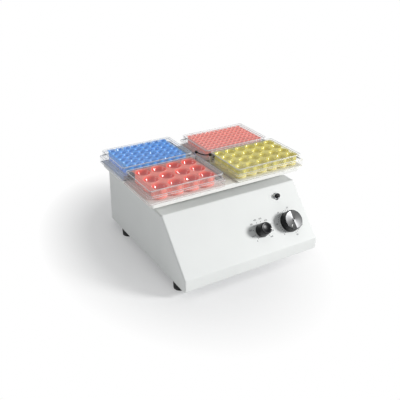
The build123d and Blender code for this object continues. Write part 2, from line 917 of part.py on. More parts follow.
def make_carrier():
    """Cast carrier under the tray: plate, ribs, hub boss, four idler bosses and windows between them."""
    low = deck_under - carrier_plate
    hub_foot = web_top + hub_clearance
    shape = plate(carrier_width, carrier_depth, carrier_corner, low, deck_under, 0, centre_y)
    for side in (-1, 1):
        for end in (-1, 1):
            x, y = side * carrier_window_place[0], centre_y + end * carrier_window_place[1]
            shape -= Pos(x, y, low) * Box(*carrier_window, 4 * carrier_plate)
        near, far = sorted((side * (hub_boss_radius - weld), side * (carrier_width / 2 - rib_inset)))
        shape += block((near, far), (centre_y - rib_thickness / 2, centre_y + rib_thickness / 2), (low - rib_depth, low + weld))
    shape += rod(hub_boss_radius, hub_foot, deck_under, 0, centre_y)
    for x, y in idler_places.values():
        shape += rod(boss_radius, web_top + end_play, deck_under, x, y)
    for x, y in idler_places.values():
        shape -= rod(idler_pin_radius + pin_gap, web_top, deck_under - pin_headroom / 2, x + orbit_radius, y)
    bearing_end = hub_bearing_low + hub_bearing_width
    shape -= rod(hub_bearing_radius + thread_slack, hub_foot - spare, bearing_end, orbit_radius, centre_y)
    shape -= rod(crank_pin_radius + pin_reach, bearing_end - spare, bearing_end + 2 * pin_reach, orbit_radius, centre_y)
    return shape


def plate_centre(side, end):
    """Middle of a microplate's footprint."""
    x = side * (column_gap + plate_length) / 2
    y = centre_y + end * (row_gap + plate_width) / 2
    return x, y


def make_pads():
    """Thin silicone pads on the deck that each locate a plate by the recess under it."""
    grow = skirt_wall + pad_gap
    pieces = []
    for side, end in plate_seats.values():
        x, y = plate_centre(side, end)
        pad = Box(plate_length - 2 * grow, plate_width - 2 * grow, pad_thickness)
        pieces.append(Pos(x, y, deck + pad_thickness / 2) * pad)
    return group(pieces)


def make_posts():
    """Two slim posts through the deck that carry the retaining wire."""
    low = deck_under + post_seat
    return group([rod(post_radius, low, deck + post_height, x, centre_y + y) for x, y in (post_left, post_right)])


def make_wire():
    """Retaining wire in a shallow arc from post to post."""
    height = deck + post_height - wire_drop
    left = Vector(post_left[0], centre_y + post_left[1], height)
    right = Vector(post_right[0], centre_y + post_right[1], height)
    reach = (right - left).normalized() * post_radius
    middle = (left + right) * 0.5 - Vector(0, 0, wire_sag)
    arc = ThreePointArc(left + reach, middle, right - reach)
    section = Plane(origin=arc @ 0, z_dir=arc % 0) * Circle(wire_radius)
    return sweep(section, path=arc)


def well_centres(columns, rows, pitch_x, pitch_y):
    """Middles of a plate's wells about the plate's own middle."""
    return [
        ((column - (columns - 1) / 2) * pitch_x, (row - (rows - 1) / 2) * pitch_y)
        for column in range(columns)
        for row in range(rows)
    ]


def well_solids(name, shrink, low, high):
    """Round or square bars that fill the wells."""
    end_border, side_border, wall, form = microplates[name][:4]
    columns, rows = well_counts[name]
    pitch_x = (plate_length - 2 * end_border) / columns
    pitch_y = (plate_width - 2 * side_border) / rows
    half = (min(pitch_x, pitch_y) - wall) / 2 - shrink
    section = Circle(half) if form == "round" else Rectangle(2 * half, 2 * half)
    bar = extrude(section, high - low)
    return [Pos(x, y, low) * bar for x, y in well_centres(columns, rows, pitch_x, pitch_y)]


def make_microplate(name, skirt, height):
    """Clear plate: a wide skirt, an upper wall for the lid, wells, and a recess under it."""
    inset = lid_inset + lid_wall + lid_gap
    roof = height - lid_wall - lid_headroom
    shape = plate(plate_length, plate_width, plate_corner, 0, skirt)
    shape += plate(plate_length - 2 * inset, plate_width - 2 * inset, inner_corner, skirt - weld, roof)
    shape -= plate(plate_length - 2 * skirt_wall, plate_width - 2 * skirt_wall, inner_corner, -spare, recess_depth)
    return shape - well_solids(name, 0.0, well_floor, roof + spare)


def make_media(name, height):
    """The coloured contents of every well."""
    level = height - lid_wall - lid_headroom - well_headspace
    return group(well_solids(name, media_gap, well_floor + media_gap, level))


def make_lid(skirt, height):
    """Clear lid: a flat top with a low border and walls that stand on the skirt."""
    length, width = plate_length - 2 * lid_inset, plate_width - 2 * lid_inset
    low = skirt + rest_gap
    shape = plate(length, width, plate_corner, low, height)
    shape = chamfer(shape.faces().sort_by(Axis.Z)[-1].outer_wire().edges(), lid_edge)
    shape -= plate(length - 2 * lid_wall, width - 2 * lid_wall, inner_corner, low - spare, height - lid_wall)
    shape -= plate(length - 2 * lid_border, width - 2 * lid_border, inner_corner, height - lid_border_height, height + spare)
    return shape


def write_housing():
    save(make_cover(), "cover")
    save(make_base_plate(), "base_plate")
    save(group([make_foot(x, y) for x, y in foot_places]), "feet")
    save(make_foot_studs(), "foot_studs")


def write_drive():
    save(make_drive_frame(), "drive_frame")
    save(make_chassis_screws(), "chassis_screws")
    save(make_bearing_housing(), "bearing_housing")
    bearings = [ball_bearing(bearing_bore, bearing_radius, bearing_width, low, 0, centre_y)
                for low in (lower_bearing, bearing_top - bearing_width)]
    save(group(bearings), "spindle_bearings")
    save(group([make_idler_bush(x, y) for x, y in idler_places.values()]), "idler_bushes")
    for name, (x, y) in idler_places.items():
        save(make_idler(x, y), f"idler_{name}")
    save(make_spindle(), "spindle")
    save(make_pulley(pulley_spindle, bearing_bore + thread_slack, pulley_foot, 0, centre_y), "spindle_pulley")
    save(make_counterweight(), "counterweight")
    save(make_belt(), "drive_belt")
    save(make_motor_bracket(), "motor_bracket")
    save(make_motor(), "drive_motor")
    save(make_motor_shaft(), "motor_shaft")
    save(make_pulley(pulley_motor, motor_shaft_radius + thread_slack, pulley_foot, *motor_place), "motor_pulley")


def write_electronics():
    save(make_board(), "circuit_board")
    save(make_board_pillars(), "board_pillars")
    save(make_board_parts(), "board_parts")
    core, coil = make_transformer()
    save(core, "transformer_core")
    save(coil, "transformer_coil")
    save(make_inlet(), "mains_inlet")
    save(make_blades(), "inlet_blades")
    save(make_fuse_holder(), "fuse_holder")
    save(make_fuse_cap(), "fuse_cap")


def write_controls():
    save(make_potentiometer(), "speed_potentiometer")
    save(make_timer_unit(), "timer_unit")
    save(make_dial_nuts(), "dial_nuts")
    save(make_speed_knob(), "speed_knob")
    save(make_timer_knob(), "timer_knob")
    save(make_timer_cap(), "timer_knob_cap")
    save(make_switch(), "switch_body")
    save(make_bezel(), "switch_bezel")
    save(make_button(), "switch_button")


def write_tray():
    save(make_tray(), "tray")
    save(make_carrier(), "tray_carrier")
    save(ball_bearing(crank_pin_radius, hub_bearing_radius, hub_bearing_width, hub_bearing_low, orbit_radius, centre_y),
         "tray_bearing")
    save(make_pads(), "plate_pads")
    save(make_posts(), "retainer_posts")
    save(make_wire(), "retainer_wire")


def write_microplates():
    for name, (*_, skirt, height) in microplates.items():
        x, y = plate_centre(*plate_seats[name])
        place = Pos(x, y, deck + rest_gap)
        save(place * make_microplate(name, skirt, height), f"plate_{name}")
        save(place * make_media(name, height), f"media_{name}")
        save(place * make_lid(skirt, height), f"lid_{name}")


write_housing()
write_drive()
write_electronics()
write_controls()
write_tray()
write_microplates()
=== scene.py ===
import bpy
import bmesh
import json
import math
from mathutils import Matrix, Vector


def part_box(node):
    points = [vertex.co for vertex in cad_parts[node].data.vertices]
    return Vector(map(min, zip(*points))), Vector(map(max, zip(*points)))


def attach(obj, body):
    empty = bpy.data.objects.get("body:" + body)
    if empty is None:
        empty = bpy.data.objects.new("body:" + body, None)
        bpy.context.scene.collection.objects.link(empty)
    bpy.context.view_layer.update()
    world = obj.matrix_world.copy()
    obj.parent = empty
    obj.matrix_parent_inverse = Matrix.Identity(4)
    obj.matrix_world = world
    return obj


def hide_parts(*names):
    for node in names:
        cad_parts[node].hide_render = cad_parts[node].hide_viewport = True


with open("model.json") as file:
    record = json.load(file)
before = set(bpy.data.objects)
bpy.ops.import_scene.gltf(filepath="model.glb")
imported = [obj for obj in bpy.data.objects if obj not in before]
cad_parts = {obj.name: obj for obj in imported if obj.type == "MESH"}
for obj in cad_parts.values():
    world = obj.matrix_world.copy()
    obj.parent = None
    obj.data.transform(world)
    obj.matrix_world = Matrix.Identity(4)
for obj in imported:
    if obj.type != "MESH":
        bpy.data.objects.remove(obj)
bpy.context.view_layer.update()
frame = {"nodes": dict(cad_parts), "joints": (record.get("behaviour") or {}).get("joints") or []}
nodes = frame["nodes"]
joints = {joint["name"]: joint for joint in frame["joints"]}
print("frame loaded:", len(nodes), "nodes")


class Signal:  # one socket, so that shader maths reads as plain expressions
    def __init__(self, shader, socket):
        self.shader = shader
        self.socket = socket

    def calc(self, operation, first, second=0.0, clamp=False):
        settings = {"operation": operation, "use_clamp": clamp}
        return self.shader.add("ShaderNodeMath", settings, {0: first, 1: second})

    def __add__(self, other):
        return self.calc("ADD", self, other)

    __radd__ = __add__

    def __sub__(self, other):
        return self.calc("SUBTRACT", self, other)

    def __rsub__(self, other):
        return self.calc("SUBTRACT", other, self)

    def __mul__(self, other):
        return self.calc("MULTIPLY", self, other)

    __rmul__ = __mul__

    def __truediv__(self, other):
        return self.calc("DIVIDE", self, other)

    def __pow__(self, other):
        return self.calc("POWER", self, other)

    def clamped(self):
        return self.calc("ADD", self, 0.0, clamp=True)

    def floor(self):
        return self.calc("FLOOR", self)

    def out(self, name):  # another output of the same node
        return Signal(self.shader, self.socket.node.outputs[name])


class Shader:  # a material and its nodes
    def __init__(self, name):
        self.material = bpy.data.materials.new(name)
        self.material.use_nodes = True
        self.tree = self.material.node_tree
        self.tree.nodes.clear()
        self.outlet = self.tree.nodes.new("ShaderNodeOutputMaterial")

    def feed(self, socket, value):
        if isinstance(value, Signal):
            self.tree.links.new(value.socket, socket)
        elif isinstance(value, (tuple, list)) and len(value) == 3 and socket.type == "RGBA":
            socket.default_value = (*value, 1.0)
        else:
            socket.default_value = value

    def add(self, kind, settings=None, sockets=None):
        node = self.tree.nodes.new(kind)
        for key, value in (settings or {}).items():
            if key == "stops":
                self.setStops(node.color_ramp, value)
            else:
                setattr(node, key, value)
        for key, value in (sockets or {}).items():
            self.feed(node.inputs[key], value)
        live = [socket for socket in node.outputs if socket.enabled]
        return Signal(self, live[0])

    def setStops(self, ramp, stops):
        while len(ramp.elements) > len(stops):
            ramp.elements.remove(ramp.elements[-1])
        while len(ramp.elements) < len(stops):
            ramp.elements.new(1.0)
        for element, (place, level) in zip(ramp.elements, stops):
            element.position = place
            element.color = (level, level, level, 1.0)

    def coords(self, scale=(1.0, 1.0, 1.0)):  # place on the piece in metres, stretched by scale
        place = self.add("ShaderNodeTexCoord").out("Object")
        return self.add("ShaderNodeVectorMath", {"operation": "MULTIPLY"}, {0: place, 1: scale})

    def noise(self, scale, detail=3.0, stretch=(1.0, 1.0, 1.0)):
        sockets = {"Vector": self.coords(stretch), "Scale": scale, "Detail": detail}
        return self.add("ShaderNodeTexNoise", None, sockets).out("Fac")

    def waves(self, direction, scale):
        sockets = {"Vector": self.coords(), "Scale": scale}
        return self.add("ShaderNodeTexWave", {"bands_direction": direction}, sockets).out("Fac")

    def ramp(self, value, stops):
        return self.add("ShaderNodeValToRGB", {"stops": stops}, {"Fac": value})

    def blend(self, amount, first, second):  # from the first colour to the second
        node = self.tree.nodes.new("ShaderNodeMix")
        node.data_type = "RGBA"
        self.feed(node.inputs[0], amount)
        self.feed(node.inputs[6], first)
        self.feed(node.inputs[7], second)
        return Signal(self, node.outputs[2])

    def bump(self, height, strength, distance):
        sockets = {"Height": height, "Strength": strength, "Distance": distance}
        return self.add("ShaderNodeBump", None, sockets)

    def height(self):  # how high a place is, in metres
        return self.add("ShaderNodeSeparateXYZ", None, {0: self.coords()}).out("Z")

    def mottled(self, cloud, tone, spread):  # tone that wanders a little to both sides
        return self.blend(cloud, shade(tone, 1 - spread), shade(tone, 1 + spread))

    def surface(self, sockets):
        skin = self.add("ShaderNodeBsdfPrincipled", None, sockets)
        self.finish(skin)
        return self.material

    def finish(self, skin):
        self.tree.links.new(skin.socket, self.outlet.inputs["Surface"])


def shade(colour, factor):
    return tuple(min(1.0, channel * factor) for channel in colour)


housingPaint = {
    "colour": (0.80, 0.815, 0.80), "mottle": 0.035, "grain": 900.0, "grainDepth": 0.00006, "roughness": 0.38,
    # darker grey that the paint turns towards the bench, and how far up it reaches
    "dust": (0.52, 0.52, 0.50), "lowDarkShare": 0.12, "lowDarkRise": 12.0,
}


def makeHousingPaint():  # fine textured powder coat, a little darker towards the bench
    shader = Shader("housingPaint")
    cloud = shader.noise(14.0, 4.0)
    colour = shader.mottled(cloud, housingPaint["colour"], housingPaint["mottle"])
    # darker towards the bench: blended towards the darker grey over the lowest few centimetres
    rise = shader.height() * housingPaint["lowDarkRise"] + shader.noise(60.0) * 0.2
    dust = shader.ramp(rise, [(0.1, 1.0), (0.45, 0.0)])
    colour = shader.blend(dust * housingPaint["lowDarkShare"], colour, housingPaint["dust"])
    grain = shader.noise(housingPaint["grain"], 2.0)
    return shader.surface({
        "Base Color": colour,
        "Roughness": cloud * 0.08 + grain * 0.1 + housingPaint["roughness"],
        "Normal": shader.bump(grain, 0.5, housingPaint["grainDepth"]),
        "Specular IOR Level": 0.4,
    })


trayPaint = {"colour": (0.88, 0.88, 0.845), "mottle": 0.02, "roughness": 0.34}


def makeTrayPaint():  # smooth baked paint with a soft orange peel
    shader = Shader("trayPaint")
    cloud = shader.noise(22.0, 3.0)
    peel = shader.noise(420.0, 1.0)
    return shader.surface({
        "Base Color": shader.mottled(cloud, trayPaint["colour"], trayPaint["mottle"]),
        "Roughness": peel * 0.08 + trayPaint["roughness"],
        "Normal": shader.bump(peel, 0.35, 0.00004),
        "Coat Weight": 0.15,
        "Coat Roughness": 0.2,
    })


sheetZinc = {"colour": (0.60, 0.63, 0.66), "spangle": 120.0}


def makeSheetZinc():  # zinc plate with its crystal spangle
    shader = Shader("sheetZinc")
    sockets = {"Vector": shader.coords(), "Scale": sheetZinc["spangle"]}
    cells = shader.add("ShaderNodeTexVoronoi", None, sockets).out("Color")
    tint = shader.add("ShaderNodeSeparateXYZ", None, {0: cells})
    tone = sheetZinc["colour"]
    return shader.surface({
        "Base Color": shader.blend(tint, shade(tone, 0.86), shade(tone, 1.08)),
        "Metallic": 0.85,
        "Roughness": tint * 0.18 + 0.32,
        "Normal": shader.bump(shader.noise(700.0), 0.15, 0.00003),
    })


def makeTurnedMetal(name, colour, roughness, streak):  # lathe marks run round the upright axis
    shader = Shader(name)
    rings = shader.noise(1.0, 2.0, (8.0, 8.0, streak))
    cloud = shader.noise(45.0, 3.0)
    return shader.surface({
        "Base Color": shader.blend(cloud, shade(colour, 0.9), shade(colour, 1.08)),
        "Metallic": 1.0,
        "Roughness": rings * 0.16 + roughness,
        "Normal": shader.bump(rings, 0.25, 0.00003),
    })


cappedPost = {"bright": (0.80, 0.81, 0.83), "black": (0.004, 0.004, 0.005), "capDepth": 0.0003}


def makeCappedPost():  # bright plated post, black at the end that shows in its moulded cap
    shader = Shader("cappedPost")
    top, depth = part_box("retainer_posts")[1][2], cappedPost["capDepth"]
    capped = shader.ramp(shader.height(), [(top - depth, 0.0), (top - depth / 2, 1.0)])
    return shader.surface({
        "Base Color": shader.blend(capped, cappedPost["bright"], cappedPost["black"]),
        "Metallic": 1.0 - capped,
        "Roughness": capped * 0.16 + 0.12,
    })


def makeCastMetal(name, colour):  # sand blasted casting
    shader = Shader(name)
    grit = shader.noise(1100.0, 2.0)
    cloud = shader.noise(30.0, 4.0)
    return shader.surface({
        "Base Color": shader.blend(cloud, shade(colour, 0.86), shade(colour, 1.05)),
        "Metallic": 0.9,
        "Roughness": grit * 0.15 + 0.42,
        "Normal": shader.bump(grit, 0.4, 0.00005),
    })


mouldDust = (0.55, 0.54, 0.52)


# Moulded plastic or rubber with a fine grain and a little dust
def makeMoulded(name, colour, roughness, grain, dust=0.06, gloss=0.5):
    shader = Shader(name)
    fine = shader.noise(grain, 2.0)
    cloud = shader.ramp(shader.noise(55.0, 5.0), [(0.42, 0.0), (0.72, 1.0)])
    return shader.surface({
        "Base Color": shader.blend(cloud * dust, colour, mouldDust),
        "Roughness": fine * 0.12 + cloud * 0.08 + roughness,
        "Normal": shader.bump(fine, 0.35, 0.00004),
        "Specular IOR Level": gloss,
    })


# spun face: its dark tone and its wedge fade are painted reflection
spunFacePaintedReflection = {
    "colour": (0.80, 0.80, 0.81), "paintedReflectionDark": 0.012, "paintedWedges": 2.0, "turn": 88.0, "rings": 260.0,
    "paintedWedgeFade": [(0.0, 0.02), (0.03, 0.85), (0.25, 0.42), (0.55, 0.1), (0.8, 0.01), (1.0, 0.0)],
}


def makeSpunFacePaintedReflection():  # spun aluminium: fine rings, with painted reflection: wedges from light to dark painted into the colour, as the rings would reflect them
    shader = Shader("spunFacePaintedReflection")
    place = shader.add("ShaderNodeTexCoord").out("UV")
    sockets = {0: place, 1: (0.5, 0.5, 0.0)}
    centred = shader.add("ShaderNodeVectorMath", {"operation": "SUBTRACT"}, sockets)
    sockets = {"Vector": centred, "Angle": -math.radians(spunFacePaintedReflection["turn"])}
    turned = shader.add("ShaderNodeVectorRotate", {"rotation_type": "Z_AXIS"}, sockets)
    angle = shader.add("ShaderNodeTexGradient", {"gradient_type": "RADIAL"}, {"Vector": turned}).out("Fac")
    sweep = angle * spunFacePaintedReflection["paintedWedges"]
    paintedWedge = shader.ramp(sweep - sweep.floor(), spunFacePaintedReflection["paintedWedgeFade"])
    reach = shader.add("ShaderNodeVectorMath", {"operation": "LENGTH"}, {0: centred}).out("Value")
    sockets = {"Vector": shader.add("ShaderNodeCombineXYZ", None, {0: reach}), "Scale": spunFacePaintedReflection["rings"]}
    rings = shader.add("ShaderNodeTexNoise", None, sockets).out("Fac")
    tone = spunFacePaintedReflection["colour"]
    # painted reflection: how light each wedge is, broken up by the rings
    paintedLightMix = (paintedWedge * (rings * 0.3 + 0.85)).clamped()
    return shader.surface({
        "Base Color": shader.blend(paintedLightMix, shade(tone, spunFacePaintedReflection["paintedReflectionDark"]), tone),
        "Metallic": 0.2,
        "Roughness": rings * 0.2 + 0.35,
        "Normal": shader.bump(rings, 0.2, 0.00002),
    })


clearSkins = {
    "face": 0.025, "edge": 0.34, "haze": 0.02,
    # beads: denser, paler plastic along the edges; the edges are real, their bright lines a painted highlight
    "highlightBeadFace": 0.42, "highlightBeadEdge": 0.85,
    # well deck and tubes: clear plastic coloured like the liquid and glowing, painted coloured light that
    # comes through the liquid
    "wellFace": 0.46, "wellEdge": 0.66, "wellPaintedGlow": 0.25,
    "wells": {"blue": (0.12, 0.42, 0.82), "pink": (0.86, 0.42, 0.36), "red": (0.84, 0.34, 0.28),
              "yellow": (0.76, 0.70, 0.22)},
    # shell tints: faint colour of each plate's liquid on the clear plastic, painted coloured light
    "tints": {"blue": (0.84, 0.87, 0.97), "pink": (0.95, 0.88, 0.88), "red": (0.95, 0.86, 0.85),
              "yellow": (0.94, 0.92, 0.82), "lid": (0.92, 0.94, 0.95)},
}


def footFade(shader, colour, pale):  # colour that turns pale towards the foot of the wells
    low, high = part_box("media_red")
    rise = (shader.height() - low[2]) / (high[2] - low[2])
    return shader.blend(shader.ramp(rise, [(0.30, 0.70), (0.80, 0.0)]), colour, pale)


# Clear polystyrene: faint on its faces, strong on its edges, with a little haze; the pale strong edges are
# painted reflection, and glow gives a painted glow
def makeClear(name, tint, face, edge, glow=0.0, pale=None):
    shader = Shader(name)
    glance = shader.add("ShaderNodeLayerWeight", None, {"Blend": 0.35}).out("Facing")
    haze = shader.noise(38.0, 4.0)
    body = (glance ** 3.0) * (edge - face) + haze * clearSkins["haze"] + face
    colour = shader.blend(haze, shade(tint, 0.94), shade(tint, 1.04))
    if pale:
        colour = footFade(shader, colour, pale)
    return shader.surface({
        "Base Color": colour,
        "Alpha": body.clamped(),
        # painted glow, where glow is above nought
        "Emission Color": tint,
        "Emission Strength": glow,
        "Roughness": haze * 0.06 + 0.16,
        "IOR": 1.59,
        "Specular IOR Level": 0.14,
    })


plateSet = {
    "blue": {"columns": 8, "rows": 6, "pitch": 0.0130, "radius": 0.0059, "dip": 0.0034, "steps": 24},
    "pink": {"columns": 12, "rows": 8, "pitch": 0.0090, "radius": 0.0040, "dip": 0.0018, "steps": 16},
    "red": {"columns": 4, "rows": 3, "pitch": 0.0260, "radius": 0.0121, "dip": 0.0070, "steps": 32},
    "yellow": {"columns": 6, "rows": 4, "pitch": 0.0193, "radius": 0.0089, "dip": 0.0042, "steps": 24},
}
# liquid colours: wall is the liquid's own colour, the dip colour is painted shade and the rim colour a
# painted highlight
media = {
    "blue": {"dipShade": (0.008, 0.11, 0.46), "wall": (0.03, 0.26, 0.70), "rim": (0.16, 0.46, 0.86),
             "pale": (0.50, 0.50, 0.86), "speckle": 0.5},
    "pink": {"dipShade": (0.60, 0.085, 0.07), "wall": (0.83, 0.17, 0.13), "rim": (0.90, 0.36, 0.31),
             "pale": (0.86, 0.50, 0.46), "speckle": 0.4},
    "red": {"dipShade": (0.30, 0.008, 0.006), "wall": (0.70, 0.055, 0.035), "rim": (0.86, 0.25, 0.19),
            "pale": (0.84, 0.36, 0.32), "speckle": 0.5},
    "yellow": {"dipShade": (0.46, 0.36, 0.006), "wall": (0.62, 0.52, 0.016), "rim": (0.76, 0.70, 0.13),
               "pale": (0.82, 0.74, 0.40), "speckle": 0.4},
}
# painted glow of the liquid
mediumPaintedGlow = 0.22


def makeMedium(name, look):  # coloured liquid, each well a little different: painted shade darkens the dip, a painted highlight pales the rim, and it has a painted glow
    shader = Shader("medium" + name.capitalize())
    pitch = plateSet[name]["pitch"]
    corner = tuple(-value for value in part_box("media_" + name)[0])
    shifted = shader.add("ShaderNodeVectorMath", {"operation": "ADD"}, {0: shader.coords(), 1: corner})
    parts = shader.add("ShaderNodeSeparateXYZ", None, {0: shifted})
    sockets = {0: (parts / pitch).floor(), 1: (parts.out("Y") / pitch).floor()}
    cell = shader.add("ShaderNodeCombineXYZ", None, sockets)
    share = shader.add("ShaderNodeTexWhiteNoise", {"noise_dimensions": "3D"}, {"Vector": cell}).out("Value")
    swirl = shader.noise(220.0, 3.0)
    across = shader.add("ShaderNodeSeparateXYZ", None, {0: shader.add("ShaderNodeTexCoord").out("UV")})
    # painted shade: darker in the dip of each well
    dip = shader.ramp(across, [(0.35, 1.0), (0.8, 0.0)]) * across.out("Y")
    # painted highlight: paler at the rim of each well
    rim = shader.ramp(across, [(0.86, 0.0), (0.95, 1.0)])
    depth = dip * (1.0 - share * look["speckle"]) * (swirl * 0.5 + 0.75)
    colour = shader.blend(depth.clamped(), look["wall"], look["dipShade"])
    colour = shader.blend((rim * (swirl * 0.6 + 0.35)).clamped(), colour, look["rim"])
    colour = footFade(shader, colour, look["pale"])
    return shader.surface({
        "Base Color": colour,
        # painted glow: the liquid gives off light in its own colour
        "Emission Color": colour,
        "Emission Strength": mediumPaintedGlow,
        "Roughness": swirl * 0.12 + 0.08,
        "Normal": shader.bump(swirl, 0.2, 0.0002),
        "Specular IOR Level": 0.6,
    })


def makeBoardGreen():  # solder mask with faint tracks
    shader = Shader("boardGreen")
    sockets = {"Vector": shader.coords(), "Scale": 160.0, "Mortar Size": 0.12}
    tracks = shader.add("ShaderNodeTexBrick", None, sockets).out("Fac")
    return shader.surface({
        "Base Color": shader.blend(tracks, (0.02, 0.16, 0.07), (0.05, 0.28, 0.13)),
        "Roughness": tracks * 0.15 + 0.35,
        "Normal": shader.bump(tracks, 0.2, 0.00003),
    })


def makeLaminated():  # stack of varnished core sheets
    shader = Shader("laminated")
    sheets = shader.waves("Y", 320.0)
    return shader.surface({
        "Base Color": shader.blend(sheets, (0.10, 0.09, 0.085), (0.30, 0.28, 0.26)),
        "Metallic": 0.5,
        "Roughness": sheets * 0.2 + 0.4,
        "Normal": shader.bump(sheets, 0.4, 0.00005),
    })


def makeWound():  # taped winding
    shader = Shader("wound")
    turns = shader.waves("Z", 210.0)
    return shader.surface({
        "Base Color": shader.blend(turns, (0.38, 0.17, 0.03), (0.62, 0.36, 0.10)),
        "Roughness": turns * 0.2 + 0.3,
        "Normal": shader.bump(turns, 0.5, 0.0001),
    })


looks = {
    "housingPaint": makeHousingPaint(),
    "trayPaint": makeTrayPaint(),
    "sheetZinc": makeSheetZinc(),
    "steel": makeTurnedMetal("steel", (0.56, 0.56, 0.58), 0.24, 900.0),
    "chrome": makeTurnedMetal("chrome", (0.80, 0.81, 0.83), 0.08, 500.0),
    "turnedAluminium": makeTurnedMetal("turnedAluminium", (0.70, 0.71, 0.73), 0.3, 700.0),
    "cappedPost": makeCappedPost(),
    "bronze": makeTurnedMetal("bronze", (0.62, 0.42, 0.20), 0.34, 500.0),
    "castAluminium": makeCastMetal("castAluminium", (0.62, 0.63, 0.65)),
    "rubber": makeMoulded("rubber", (0.022, 0.022, 0.023), 0.70, 900.0),
    "belt": makeMoulded("belt", (0.03, 0.03, 0.03), 0.62, 500.0),
    "silicone": makeMoulded("silicone", (0.78, 0.78, 0.75), 0.50, 500.0, 0.1),
    "blackPlastic": makeMoulded("blackPlastic", (0.004, 0.004, 0.005), 0.22, 1300.0, 0.008, 0.3),
    "motorBlack": makeMoulded("motorBlack", (0.05, 0.05, 0.055), 0.42, 600.0),
    "darkParts": makeMoulded("darkParts", (0.06, 0.06, 0.065), 0.45, 700.0),
    "whitePrint": makeMoulded("whitePrint", (0.82, 0.82, 0.80), 0.5, 1500.0, 0.1),
    "greyPrint": makeMoulded("greyPrint", (0.045, 0.045, 0.05), 0.55, 1500.0, 0.1),
    "blackWire": makeMoulded("blackWire", (0.02, 0.012, 0.012), 0.35, 1500.0, 0.04),
    "spunFacePaintedReflection": makeSpunFacePaintedReflection(),
    "boardGreen": makeBoardGreen(),
    "laminated": makeLaminated(),
    "wound": makeWound(),
}
for mediumName, mediumLook in media.items():
    looks["medium_" + mediumName] = makeMedium(mediumName, mediumLook)
for tintName, tint in clearSkins["tints"].items():
    faceName, beadName = "clear" + tintName.capitalize(), "bead" + tintName.capitalize()
    looks["clear_" + tintName] = makeClear(faceName, tint, clearSkins["face"], clearSkins["edge"])
    looks["bead_" + tintName] = makeClear(beadName, tint, clearSkins["highlightBeadFace"], clearSkins["highlightBeadEdge"])
# well deck and tubes: the liquid's colour and a glow, painted coloured light
for wellName, tint in clearSkins["wells"].items():
    faint, strong, glow = (clearSkins[key] for key in ("wellFace", "wellEdge", "wellPaintedGlow"))
    title, pale = "wells" + wellName.capitalize(), media[wellName]["pale"]
    looks["wells_" + wellName] = makeClear(title, tint, faint, strong, glow, pale)
print("materials made:", len(looks))

finishes = {
    "housingPaint": ["cover"],
    "trayPaint": ["tray"],
    "sheetZinc": ["base_plate", "drive_frame", "motor_bracket", "timer_unit"],
    "steel": ["chassis_screws", "foot_studs", "spindle", "motor_shaft", "spindle_bearings", "tray_bearing",
              "counterweight", "speed_potentiometer", "dial_nuts", "idler_front_left", "idler_front_right",
              "idler_rear_left", "idler_rear_right"],
    "turnedAluminium": ["spindle_pulley", "motor_pulley", "bearing_housing"],
    "castAluminium": ["tray_carrier"],
    "bronze": ["idler_bushes", "board_pillars", "inlet_blades"],
    "rubber": ["feet"],
    "belt": ["drive_belt"],
    "silicone": ["plate_pads"],
    "motorBlack": ["drive_motor"],
    "boardGreen": ["circuit_board"],
    "darkParts": ["board_parts", "switch_body"],
    "wound": ["transformer_coil"],
    "laminated": ["transformer_core"],
    "blackPlastic": ["mains_inlet", "fuse_holder", "fuse_cap", "speed_knob", "timer_knob", "switch_button"],
    "spunFacePaintedReflection": ["timer_knob_cap"],
    "chrome": ["switch_bezel"],
    "cappedPost": ["retainer_posts"],
    "blackWire": ["retainer_wire"],
    "clear_blue": ["plate_blue"],
    "clear_pink": ["plate_pink"],
    "clear_red": ["plate_red"],
    "clear_yellow": ["plate_yellow"],
    "clear_lid": ["lid_blue", "lid_pink", "lid_red", "lid_yellow"],
    "medium_blue": ["media_blue"],
    "medium_pink": ["media_pink"],
    "medium_red": ["media_red"],
    "medium_yellow": ["media_yellow"],
}
for lookName, nodeNames in finishes.items():
    for nodeName in nodeNames:
        mesh = nodes[nodeName].data
        mesh.materials.clear()
        mesh.materials.append(looks[lookName])
print("nodes finished:", sum(len(names) for names in finishes.values()))


def addPiece(name, mesh, look, body):
    piece = bpy.data.objects.new(name, mesh)
    bpy.context.scene.collection.objects.link(piece)
    mesh.materials.clear()
    mesh.materials.append(looks[look])
    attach(piece, body)
    return piece


def meshFrom(name, bm, smooth=True):
    bmesh.ops.remove_doubles(bm, verts=bm.verts, dist=1e-7)
    bmesh.ops.recalc_face_normals(bm, faces=bm.faces)
    mesh = bpy.data.meshes.new(name)
    bm.to_mesh(mesh)
    bm.free()
    if smooth:
        mesh.shade_smooth()
        mesh.set_sharp_from_angle(angle=math.radians(38))
    return mesh


# Turned form: the profile's (radius, height) points go round the place's own Z
def addLathe(bm, profile, place, steps=72, ripple=None, closed=True):
    rings = []
    for radius, height in profile:
        ring = []
        for step in range(steps):
            angle = 2 * math.pi * step / steps
            reach = radius if ripple is None else ripple(radius, height, angle)
            point = Vector((reach * math.cos(angle), reach * math.sin(angle), height))
            ring.append(bm.verts.new(place @ point))
        rings.append(ring)
    for lower, upper in zip(rings, rings[1:]):
        for step in range(steps):
            after = (step + 1) % steps
            bm.faces.new((lower[step], lower[after], upper[after], upper[step]))
    for ring, (radius, height) in ((rings[0], profile[0]), (rings[-1], profile[-1])):
        if closed and radius > 1e-6:
            bm.faces.new(ring)


def roundedCorner(centre, radius, start, end, count=6):  # points of an arc, angles in degrees
    return [
        (centre[0] + radius * math.cos(math.radians(start + (end - start) * index / count)),
         centre[1] + radius * math.sin(math.radians(start + (end - start) * index / count)))
        for index in range(count + 1)
    ]


def jointPlace(name):  # frame on the panel at a control: X to the right, Z out of the panel
    joint = joints[name]
    out = Vector(joint["axis"]).normalized()
    if joint["type"] == "slide":
        out = -out
    right = Vector((1, 0, 0))
    up = out.cross(right)
    rotation = Matrix((right, up, out)).transposed().to_4x4()
    return Matrix.Translation(Vector(joint.get("pos_m", (0, 0, 0)))) @ rotation


